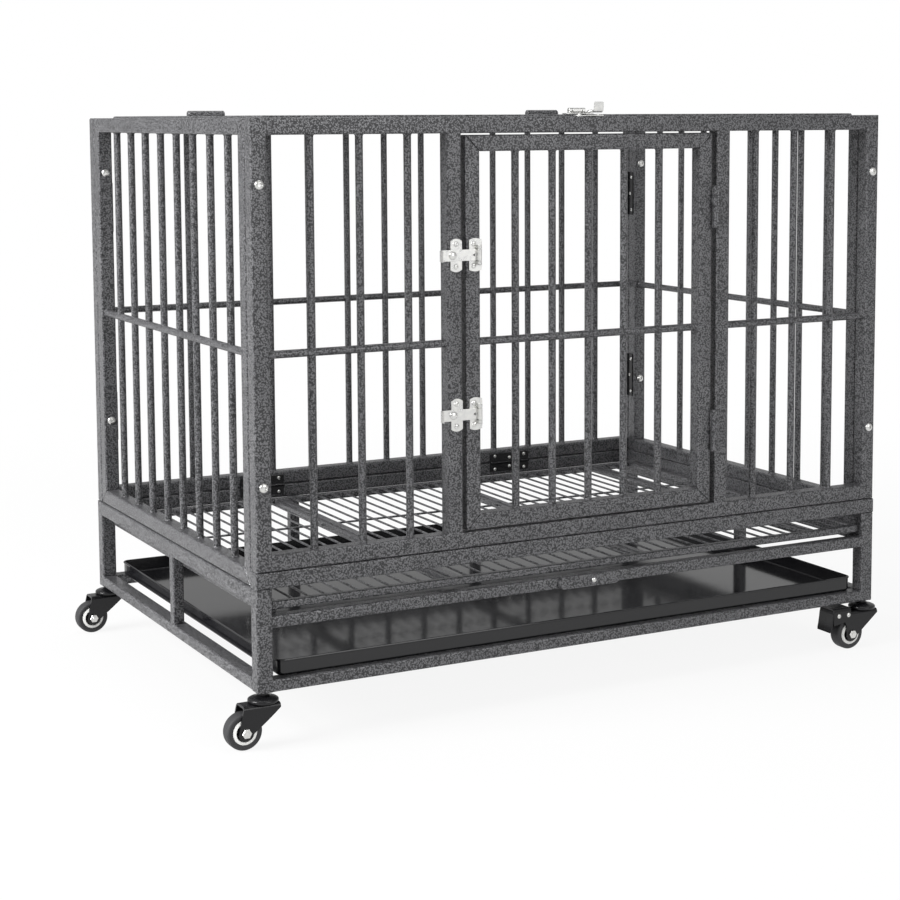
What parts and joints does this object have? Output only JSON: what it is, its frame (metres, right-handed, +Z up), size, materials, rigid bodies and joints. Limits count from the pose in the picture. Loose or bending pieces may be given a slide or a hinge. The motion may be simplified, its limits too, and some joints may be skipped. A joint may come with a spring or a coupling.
{
  "type": "dog cage",
  "caption": "Wheeled dog cage of steel tube and bar with a latched front door, roof lid, drawn-out floor grate and tray, and swivel casters with foot brakes.",
  "frame": {"origin": "middle of the whole object's box, on the floor under the wheels", "axes": "+X to the right along the width, seen from the door; +Y from the door to the back; +Z up"},
  "size_m": [0.9678, 0.6443, 0.7601],
  "materials": {
    "hammertone_paint": "dark grey hammertone powder coat",
    "zinc_plate": "bright zinc plate",
    "black_paint": "semi-gloss black",
    "tray_black": "smooth black, soft gloss",
    "grey_tyre": "dark grey moulded tyre"
  },
  "bodies": {
    "frame": {"base_frame": "hammertone_paint", "front_panel": "hammertone_paint", "back_panel": "hammertone_paint", "left_panel": "hammertone_paint", "right_panel": "hammertone_paint", "door_hinge_lower_frame_half": "hammertone_paint", "door_hinge_upper_frame_half": "hammertone_paint", "lid_hinge_left_frame_half": "hammertone_paint", "lid_hinge_right_frame_half": "hammertone_paint", "retainer_screw": "zinc_plate", "bolt_front_left_lower": "zinc_plate", "bolt_front_left_upper": "zinc_plate", "bolt_front_right_lower": "zinc_plate", "bolt_front_right_upper": "zinc_plate", "bolt_rear_left_lower": "zinc_plate", "bolt_rear_left_upper": "zinc_plate", "bolt_rear_right_lower": "zinc_plate", "bolt_rear_right_upper": "zinc_plate", "latch_lower_keeper": "zinc_plate", "latch_upper_keeper": "zinc_plate", "latch_roof_keeper": "zinc_plate", "base_hinge_left": "black_paint", "base_hinge_right": "black_paint", "corner_hinge_left_lower_side_leaf": "black_paint", "corner_hinge_left_lower_back_leaf": "black_paint", "corner_hinge_left_upper_side_leaf": "black_paint", "corner_hinge_left_upper_back_leaf": "black_paint", "corner_hinge_right_lower_side_leaf": "black_paint", "corner_hinge_right_lower_back_leaf": "black_paint", "corner_hinge_right_upper_side_leaf": "black_paint", "corner_hinge_right_upper_back_leaf": "black_paint", "caster_front_left_raceway": "black_paint", "caster_rear_left_raceway": "black_paint", "caster_front_right_raceway": "black_paint", "caster_rear_right_raceway": "black_paint"},
    "front_door": {"front_door": "hammertone_paint", "door_hinge_lower_door_half": "hammertone_paint", "door_hinge_upper_door_half": "hammertone_paint", "latch_lower_plate": "zinc_plate", "latch_upper_plate": "zinc_plate"},
    "roof_lid": {"roof_lid": "hammertone_paint", "lid_hinge_left_lid_half": "hammertone_paint", "lid_hinge_right_lid_half": "hammertone_paint", "latch_roof_plate": "zinc_plate"},
    "lower_latch": {"latch_lower_arm": "zinc_plate"},
    "upper_latch": {"latch_upper_arm": "zinc_plate"},
    "roof_latch": {"latch_roof_arm": "zinc_plate"},
    "grate": {"floor_grate": "hammertone_paint"},
    "tray": {"tray": "tray_black"},
    "retainer": {"retainer_bar": "hammertone_paint"},
    "caster_front_left_swivel": {"caster_front_left_fork": "black_paint"},
    "caster_front_left_roll": {"caster_front_left_wheel": "grey_tyre"},
    "caster_rear_left_swivel": {"caster_rear_left_fork": "black_paint"},
    "caster_rear_left_roll": {"caster_rear_left_wheel": "grey_tyre"},
    "caster_front_right_swivel": {"caster_front_right_fork": "black_paint"},
    "caster_front_right_roll": {"caster_front_right_wheel": "grey_tyre"},
    "caster_front_right_pedal": {"caster_front_right_brake": "black_paint"},
    "caster_rear_right_swivel": {"caster_rear_right_fork": "black_paint"},
    "caster_rear_right_roll": {"caster_rear_right_wheel": "grey_tyre"},
    "caster_rear_right_pedal": {"caster_rear_right_brake": "black_paint"}
  },
  "joints": [
    {"name": "front_door_hinge", "type": "hinge", "parent": "frame", "child": "front_door", "pos_m": [0.202, -0.31138, 0.474], "axis": [0, 0, 1], "range_deg": [0, 180]},
    {"name": "roof_lid_hinge", "type": "hinge", "parent": "frame", "child": "roof_lid", "pos_m": [0.015, 0.28967, 0.74656], "axis": [-1, 0, 0], "range_deg": [0, 180]},
    {"name": "lower_latch_hinge", "type": "hinge", "parent": "front_door", "child": "lower_latch", "pos_m": [-0.15, -0.31175, 0.3783], "axis": [0, 0, 1], "range_deg": [0, 165]},
    {"name": "upper_latch_hinge", "type": "hinge", "parent": "front_door", "child": "upper_latch", "pos_m": [-0.15, -0.31175, 0.5743], "axis": [0, 0, 1], "range_deg": [0, 165]},
    {"name": "roof_latch_hinge", "type": "hinge", "parent": "roof_lid", "child": "roof_latch", "pos_m": [0.016, -0.26605, 0.7495], "axis": [-1, 0, 0], "range_deg": [0, 165]},
    {"name": "grate_slide", "type": "slide", "parent": "frame", "child": "grate", "axis": [0, -1, 0], "range_m": [0, 0.45]},
    {"name": "tray_slide", "type": "slide", "parent": "frame", "child": "tray", "axis": [0, -1, 0], "range_m": [0, 0.45]},
    {"name": "retainer_swivel", "type": "hinge", "parent": "frame", "child": "retainer", "pos_m": [0.015, -0.30675, 0.1505], "axis": [0, 1, 0], "range_deg": [-90, 0]},
    {"name": "caster_front_left_swivel", "type": "hinge", "parent": "frame", "child": "caster_front_left_swivel", "pos_m": [-0.435, -0.29675, 0.0542], "axis": [0, 0, 1], "continuous": true},
    {"name": "caster_front_left_spin", "type": "hinge", "parent": "caster_front_left_swivel", "child": "caster_front_left_roll", "pos_m": [-0.4615, -0.29675, 0.0225], "axis": [0, 1, 0], "continuous": true},
    {"name": "caster_rear_left_swivel", "type": "hinge", "parent": "frame", "child": "caster_rear_left_swivel", "pos_m": [-0.435, 0.30325, 0.0542], "axis": [0, 0, 1], "continuous": true},
    {"name": "caster_rear_left_spin", "type": "hinge", "parent": "caster_rear_left_swivel", "child": "caster_rear_left_roll", "pos_m": [-0.4615, 0.30325, 0.0225], "axis": [0, 1, 0], "continuous": true},
    {"name": "caster_front_right_swivel", "type": "hinge", "parent": "frame", "child": "caster_front_right_swivel", "pos_m": [0.465, -0.29675, 0.0542], "axis": [0, 0, 1], "continuous": true},
    {"name": "caster_front_right_spin", "type": "hinge", "parent": "caster_front_right_swivel", "child": "caster_front_right_roll", "pos_m": [0.4385, -0.29675, 0.0225], "axis": [0, 1, 0], "continuous": true},
    {"name": "caster_front_right_brake", "type": "hinge", "parent": "caster_front_right_swivel", "child": "caster_front_right_pedal", "pos_m": [0.4284, -0.29675, 0.0502], "axis": [0, -1, 0], "range_deg": [0, 12]},
    {"name": "caster_rear_right_swivel", "type": "hinge", "parent": "frame", "child": "caster_rear_right_swivel", "pos_m": [0.465, 0.30325, 0.0542], "axis": [0, 0, 1], "continuous": true},
    {"name": "caster_rear_right_spin", "type": "hinge", "parent": "caster_rear_right_swivel", "child": "caster_rear_right_roll", "pos_m": [0.4385, 0.30325, 0.0225], "axis": [0, 1, 0], "continuous": true},
    {"name": "caster_rear_right_brake", "type": "hinge", "parent": "caster_rear_right_swivel", "child": "caster_rear_right_pedal", "pos_m": [0.4284, 0.30325, 0.0502], "axis": [0, -1, 0], "range_deg": [0, 12]}
  ]
}
